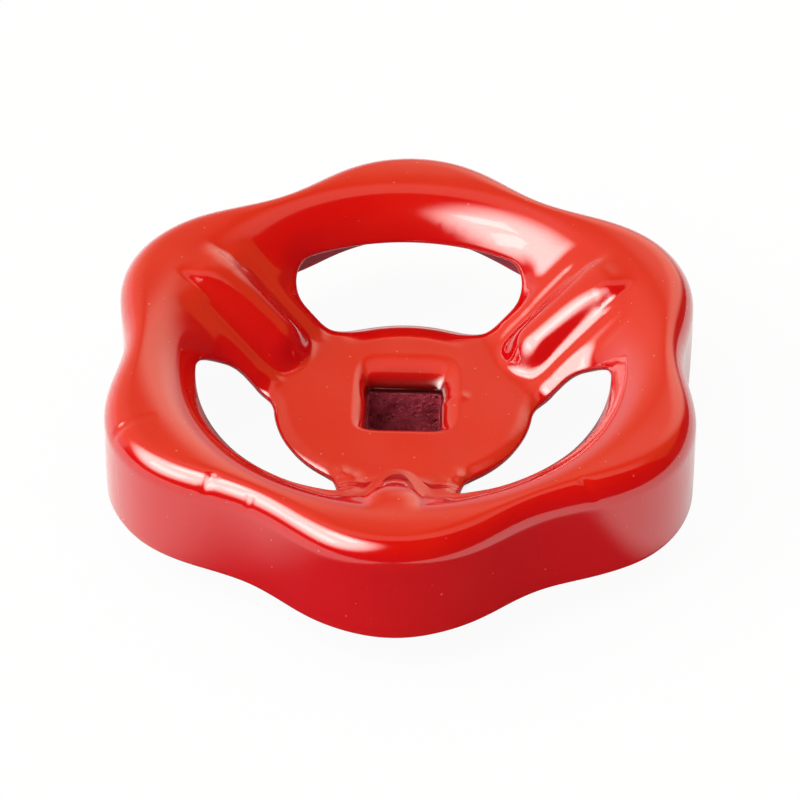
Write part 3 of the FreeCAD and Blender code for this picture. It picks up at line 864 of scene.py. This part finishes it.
# %% Paint runs and nicks
paint_runs = ((-13.8, 6.1, 0.9, 0.3), (-6.4, -12.4, 0.8, 0.22), (-5.0, -12.9, 0.6, 0.16),
              (6.6, -12.6, 0.9, 0.25), (5.2, -13.3, 0.6, 0.15), (-15.0, 3.6, 0.8, 0.2),
              (15.2, 5.6, 0.7, 0.2), (6.6, 1.2, 0.5, 0.12), (13.4, 12.8, 0.7, 0.14))
nicks = ((208.0, 0.7), (230.5, 0.6), (240.0, 0.6), (311.0, 0.6))
nick_depth = 0.22 * mm


def add_marks(places):
    """Runs, each by place, reach and height in mm, and nicks, each by angle and half width."""
    for x, y, reach, height in paint_runs:
        gap = np.hypot(places[:, 0] - x * mm, places[:, 1] - y * mm) / (reach * mm)
        places[:, 2] += height * mm * np.exp(-gap * gap) * (places[:, 2] > 6 * mm)
    for angle, width in nicks:
        turn = math.radians(angle)
        across = np.abs(places[:, 0] * math.sin(turn) - places[:, 1] * math.cos(turn))
        ahead = places[:, 0] * math.cos(turn) + places[:, 1] * math.sin(turn)
        dent = (1 - smooth_step(across, 0.0, width * mm)) * (ahead > 30 * mm)
        dent *= smooth_step(places[:, 2], 14.5 * mm, 16.2 * mm)
        dent *= 1 - smooth_step(places[:, 2], 17.1 * mm, 17.4 * mm)
        places[:, 2] -= nick_depth * dent


add_marks(places)
print("paint runs:", len(paint_runs), "nicks:", len(nicks))

# %% [markdown]
# ## The rolled mouth
# Round the stem's square the press pulls the sheet down into a short collar. Its roll is tight in
# front and wide at the back, where the sheet was drawn in more. In section the roll is nearly a
# quarter of an ellipse, and the collar's wall goes straight down from it.

# %% Add the mouth's rows
mouth_half, mouth_corner = 4.1 * mm, 0.87
collar_edge = 6.0 * mm
roll_rows, wall_rows = 12, 6
roll_depth, least_depth, depth_share = 2.0 * mm, 0.55 * mm, 0.5
steep_start = 0.22


def mouth_rows(start):
    """The rows of the roll and of the collar's wall, from the loop on the hub."""
    angle = round_angles(len(start))
    wall = polar(square_radius(angle, mouth_half, mouth_corner), angle)
    wide = np.linalg.norm(wall - start[:, :2], axis=1)
    deep = np.minimum(roll_depth, least_depth + depth_share * wide)
    rows = []
    for t in shares(roll_rows):
        a = t * math.pi / 2
        plan = start[:, :2] + (wall - start[:, :2]) * math.sin(a)
        fall = (1 - steep_start) * (1 - math.cos(a)) + steep_start * math.sin(a)
        rows.append(np.column_stack([plan, start[:, 2] - deep * fall]))
    bottom = rows[-1][:, 2]
    for t in shares(wall_rows):
        rows.append(np.column_stack([wall, bottom * (1 - t) + collar_edge * t]))
    return rows


def add_mouth(places, faces):
    """Rows from the mouth's loop on the hub down to the collar's edge."""
    last = ids_of(mouth_edge, places)
    for row in mouth_rows(places[last]):
        ids = list(range(len(places), len(places) + len(row)))
        places = np.concatenate([places, row])
        faces += [(b, c, d, a) for a, b, c, d in band(ids, last)]
        last = ids
    return places, faces


faces = [tuple(p.vertices) for p in wheel.data.polygons]
before = len(places)
places, faces = add_mouth(places, faces)
print("mouth rows added:", len(places) - before, "points")

# %% [markdown]
# ## Filled hollows
# Thick paint evens out the sharpest hollows at the beads' feet. Here a few rounds of averaging fill
# them, on the arms alone. Otherwise the underside, a moved copy, would fold over itself there.

# %% Fill the hollows on the arms
fill_rounds, fill_share = 5, 0.6
fill_from, fill_to, fill_half = 12.5 * mm, 23.5 * mm, 4.8 * mm


def fill_hollows(places, faces):
    """Moves each point on the arms towards the mean level of its neighbours."""
    pairs = {(min(a, b), max(a, b)) for f in faces for a, b in zip(f, f[1:] + f[:1])}
    pairs = np.array(sorted(pairs))
    count = np.bincount(pairs.ravel(), minlength=len(places))
    radius = np.hypot(places[:, 0], places[:, 1])
    turn = (np.arctan2(places[:, 1], places[:, 0]) - arm_turn + third / 2) % third - third / 2
    free = (radius > fill_from) & (radius < fill_to) & (np.abs(radius * np.sin(turn)) < fill_half)
    for _ in range(fill_rounds):
        total = np.bincount(pairs[:, 0], places[pairs[:, 1], 2], len(places))
        total += np.bincount(pairs[:, 1], places[pairs[:, 0], 2], len(places))
        places[free, 2] += fill_share * (total / count - places[:, 2])[free]
    return int(free.sum())


print("points evened out:", fill_hollows(places, faces))

# %% [markdown]
# ## Thickness and rounded edges
# The sheet is 1.2 mm thick. The underside is a copy of the upper side, moved in along the surface's
# own normals, and each cut edge gets a narrow band between the two with both its corners rounded,
# as paint leaves them. It's done on the points, so that the rounding is the same everywhere.

# %% Give the sheet its thickness
sheet = 1.2 * mm
round_steps = np.radians((30, 60, 90))


def point_normals(places, faces):
    """The mean normal at each point, weighted by the area of the faces round it."""
    normals = np.zeros_like(places)
    for size in (3, 4):
        some = np.array([f for f in faces if len(f) == size])
        spokes = [places[some[:, k]] - places[some[:, 0]] for k in range(1, size)]
        normal = sum(np.cross(a, b) for a, b in zip(spokes, spokes[1:]))
        for k in range(size):
            np.add.at(normals, some[:, k], normal)
    return normals / np.linalg.norm(normals, axis=1)[:, None]


def open_loops(faces):
    """The loops of edges that have only one face, each in order."""
    steps = dict.fromkeys((a, b) for face in faces for a, b in zip(face, face[1:] + face[:1]))
    follow = {a: b for a, b in steps if (b, a) not in steps}
    loops = []
    while follow:
        first = next(iter(follow))
        loop, here = [first], follow.pop(first)
        while here != first:
            loop.append(here)
            here = follow.pop(here)
        loops.append(loop)
    return loops


def thicken(places, faces):
    """All the points, then the faces of the upper side, the cut edges and the underside."""
    normals = point_normals(places, faces)
    count = len(places)
    stack = [places, places - normals * sheet]
    under = [tuple(i + count for i in reversed(f)) for f in faces]
    edges = []
    total = 2 * count
    profile = [(edge_round * math.sin(a), edge_round * (1 - math.cos(a))) for a in round_steps]
    profile += [(out, sheet - deep) for out, deep in reversed(profile)]
    for loop in open_loops(faces):
        ids = np.array(loop)
        ahead = places[np.roll(ids, -1)] - places[np.roll(ids, 1)]
        out = np.cross(ahead, normals[ids])
        out /= np.linalg.norm(out, axis=1)[:, None]
        last = ids.tolist()
        for reach, deep in profile:
            stack.append(places[ids] + out * reach - normals[ids] * deep)
            row = list(range(total, total + len(ids)))
            total += len(ids)
            edges += band(last, row)
            last = row
        edges += band(last, (ids + count).tolist())
    return np.concatenate(stack), faces, edges, under


places, upper, edges, under = thicken(places, faces)
print("sheet:", len(places), "points,", len(upper + edges + under), "faces")

# %% [markdown]
# ## The finished wheel
# The three lists of faces become one closed mesh. The underside has the duller enamel: rougher, and
# painted darker and bluer as painted shade and a painted reflection of the floor.

# %% Put the wheel together
def finish_wheel(piece, places, painted, shaded_faces):
    """Gives the piece its final mesh, with the duller enamel, painted darker and bluer as shade, on
    its inner side.
    """
    mesh = bpy.data.meshes.new("pressed_wheel")
    mesh.from_pydata(places.tolist(), [], [tuple(int(i) for i in f) for f in painted + shaded_faces])
    for material in (red_enamel, shaded_enamel):
        mesh.materials.append(material)
    mesh.polygons.foreach_set("material_index", [0] * len(painted) + [1] * len(shaded_faces))
    mesh.shade_smooth()
    old = piece.data
    piece.data = mesh
    bpy.data.meshes.remove(old)


finish_wheel(wheel, places, upper + edges, under)
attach(wheel, "root")
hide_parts("wheel_pressing")
print("pressed wheel:", sum(len(p.vertices) - 2 for p in wheel.data.polygons), "triangles")

# %% [markdown]
# ## The bush
# A short turned bush sits under the hub and takes the stem's square. Its section is turned round
# the axis, but its bore is square, so its rows of points are circles outside and squares inside.
# The bore was broached roughly, and its walls are crumpled by small real dents.

# %% Make the bush
bush_top, bush_outer, nose_radius, recess_radius = 7.0 * mm, 9.5 * mm, 4.6 * mm, 6.975 * mm
bore_half, bore_corner, bore_top = 4.0 * mm, 0.93, 6.0 * mm
chamfer = 0.15 * mm
bush_points, nose_rows, bore_rows = 240, 11, 40
bush_angles = round_angles(bush_points)


def bush_section():
    """Radius and level of each row, from the recess over the top and the nose and up the bore."""
    square = square_radius(bush_angles, bore_half, bore_corner)
    tip = np.maximum(square, nose_radius)
    low = np.maximum(0.0, square - nose_radius)
    side, nose_level = bush_outer - chamfer, bush_outer - nose_radius
    wide = square_radius(bush_angles, bore_half + chamfer, bore_corner)
    rows = [(recess_radius, bore_top), (recess_radius, bush_top - chamfer),
            (recess_radius + chamfer, bush_top), (side, bush_top), (bush_outer, bush_top - chamfer),
            (bush_outer, nose_level + chamfer), (side, nose_level - chamfer)]
    rows += [(side * (1 - t) + tip * t, (nose_level - chamfer) * (1 - t) + low * t)
             for t in np.linspace(0, 1, nose_rows + 1)[1:]]
    rows.append((square + 0.01 * mm, low))
    rows += [(square, low * (1 - t) + bore_top * t) for t in np.linspace(0, 1, bore_rows)]
    return rows + [(wide, bore_top)]


def dent_bore(places, first, last):
    """Crumples the bore's wall. Most of the change goes outwards, so the stem still fits."""
    size, roughness, spread, layers = 0.9 * mm, 0.8, 2.1, 4
    for i in range(first, last):
        p = Vector(places[i])
        dent = solid_noise.fractal(p / size, roughness, spread, layers)
        outward = Vector((p.x, p.y, 0)).normalized()
        places[i, :2] += np.array(outward[:2]) * (abs(dent) * 0.22 - 0.02) * mm


def make_bush():
    """Turns the section round the axis, as one closed piece."""
    rows = [np.column_stack([polar(radius, bush_angles), np.broadcast_to(level, bush_points)])
            for radius, level in bush_section()]
    places = np.concatenate(rows)
    end = (len(rows) - 1) * bush_points
    dent_bore(places, end - bore_rows * bush_points, end)
    ids = np.arange(len(places)).reshape(len(rows), bush_points)
    faces = [face for r in range(len(rows)) for face in band(ids[r], ids[(r + 1) % len(rows)])]
    return new_mesh_object("hub_bush", places, faces)


bush = make_bush()
bush.data.materials.append(steel)
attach(bush, "root")
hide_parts("square_hub_bush")
print("bush:", len(bush.data.polygons), "faces")

# %% [markdown]
# ## The floor
# The wheel lies on a pale floor that is nearly white to the camera and still keeps the wheel's soft
# shadow. The skirt mirrors the floor, so the stretch in front is dark to glossy rays, as if the
# camera stood there. Under the bore nothing glows, or light would shine up through the socket.

# %% Floor
floor_radius, floor_corners = 2.5, 96
camera_share = 0.94
mirror_left, mirror_right = 0.06, 0.35


def grey(level):
    """A colour without a hue."""
    return (level, level, level, 1)


def floor_material():
    """Pale and dull, with a share of plain white to the camera and in the paint's reflections."""
    material, tree, shader = new_material("pale_floor")
    path = tree.nodes.new("ShaderNodeLightPath").outputs
    x, y, _ = separate(object_place(tree))
    front = times(ease(y, 10 * mm, -20 * mm), ease(x, -34 * mm, -20 * mm))
    dark = times(times(front, ease(x, 36 * mm, 30 * mm)), path["Is Glossy Ray"])
    pale = blend(place_group(tree, drift, Size=0.3), grey(0.86), grey(0.9))
    fill(shader, {"Base Color": blend(dark, pale, grey(0.02)), "Roughness": 0.9})
    shown = plus(path["Is Camera Ray"], path["Is Transmission Ray"])
    mirror = between(ease(x, 30 * mm, 36 * mm), mirror_left, mirror_right)
    mirror = times(minus(path["Is Glossy Ray"], dark), mirror)
    share = plus(times(shown, camera_share), mirror, clamp=True)
    share = times(share, ease(vector_calc("LENGTH", combine(x, y, 0.0)), 7 * mm, 9 * mm))
    white = tree.nodes.new("ShaderNodeEmission")
    mix = add_node("MixShader", (share, shader.outputs[0], white.outputs[0]))
    join(mix.outputs[0], tree.nodes["Material Output"].inputs["Surface"])
    return material


def make_floor():
    """A round floor, level with the bush's nose."""
    ring = [(x, y, 0.0) for x, y in polar(floor_radius, round_angles(floor_corners))]
    floor = new_mesh_object("floor", ring, [tuple(range(floor_corners))])
    floor.data.materials.append(floor_material())
    return floor


make_floor()
print("floor: radius", floor_radius, "m")

# %% [markdown]
# ## The light
# The wheel stands in a studio with pale walls behind it, a large soft screen at the front left, a
# dim glow at the back left and a small window at the back right. Glossy paint mostly shows what
# stands round it, so the room is dark in front and low on the right, which gives the deep reds
# between the pale reflections. Two soft bulbs in the screen give the small bright spots.

# %% Lamps and surroundings
room_dark = (0.012, 0.01, 0.01, 1)
wall_low, wall_high, wall_top = (0.6, 0.56, 0.54, 1), (0.32, 0.24, 0.07, 1), (0.9, 0.62, 0.45, 1)
screen_glow, side_glow, window_glow = (9.2, 8.9, 8.8, 1), (0.42, 0.36, 0.3, 1), (1.1, 0.95, 0.8, 1)
plain_glow, plain_share, lamp_distance = grey(1.05), 0.55, 0.6


def aim(azimuth, elevation):
    """The direction at an azimuth and an elevation in degrees."""
    a, e = math.radians(azimuth), math.radians(elevation)
    return Vector((math.cos(e) * math.cos(a), math.cos(e) * math.sin(a), math.sin(e)))


def soft_lamp(name, place, width, height, watts):
    """A rectangular soft lamp that points at the wheel's middle."""
    data = bpy.data.lights.new(name, "AREA")
    data.shape = "RECTANGLE"
    data.size, data.size_y = width, height
    data.energy = watts
    lamp = bpy.data.objects.new(name, data)
    lamp.location = place
    target = Vector((0, 0, 10 * mm))
    lamp.rotation_euler = (target - place).to_track_quat("-Z", "Y").to_euler()
    bpy.context.scene.collection.objects.link(lamp)


def lobe(direction, azimuth, elevation, core, end):
    """1 within a cone round a direction, falling to 0 at the end angle. Angles in degrees."""
    near = vector_calc("DOT_PRODUCT", direction, aim(azimuth, elevation))
    return ease(near, math.cos(math.radians(end)), math.cos(math.radians(core)))


def walls(direction):
    """Pale walls behind, dark low on the right, and a dark room in front."""
    x, y, z = separate(direction)
    right_low = times(ease(x, 0.4, 0.66), ease(z, 0.56, 0.44))
    behind = times(ease(y, 0.12, 0.18), between(right_low, 1.0, 0.08))
    warm = blend(ease(z, 0.1, 0.5), wall_low, wall_high)
    warm = blend(ease(z, 0.8, 0.9), warm, wall_top)
    return blend(behind, room_dark, warm)


def make_surroundings():
    """The world: walls, screen and window to glossy rays, plainer light to others."""
    world = bpy.data.worlds.new("studio")
    world.use_nodes = True
    tree = world.node_tree
    direction = tree.nodes.new("ShaderNodeTexCoord").outputs["Generated"]
    path = tree.nodes.new("ShaderNodeLightPath").outputs
    mirrored = path["Is Glossy Ray"]
    screen = times(lobe(direction, -155, 46, 15, 37), between(mirrored, 0.5, 1.0))
    glow = walls(direction)
    for share, colour in ((screen, screen_glow),
                          (lobe(direction, 138, 30, 12, 46), side_glow),
                          (lobe(direction, 70, 28, 8, 24), window_glow)):
        glow = vector_calc("ADD", glow, blend(share, grey(0), colour))
    glow = blend(between(mirrored, plain_share, 0.0), glow, plain_glow)
    seen = plus(path["Is Camera Ray"], path["Is Transmission Ray"], clamp=True)
    join(blend(seen, glow, grey(1)), tree.nodes["Background"].inputs["Color"])
    bpy.context.scene.world = world
    return len(tree.nodes)


print("surroundings:", make_surroundings(), "nodes")
soft_lamp("lower_bulb", lamp_distance * aim(-152, 36), 0.24, 0.12, 0.24)
soft_lamp("upper_bulb", lamp_distance * aim(-150, 62), 0.2, 0.15, 0.26)
bpy.context.scene.view_settings.view_transform = "Standard"

# %% [markdown]
# ## Close
# The view layer is brought up to date at the end. The visual model has to stay inside the CAD
# model's box.

# %% Finish
bpy.context.view_layer.update()
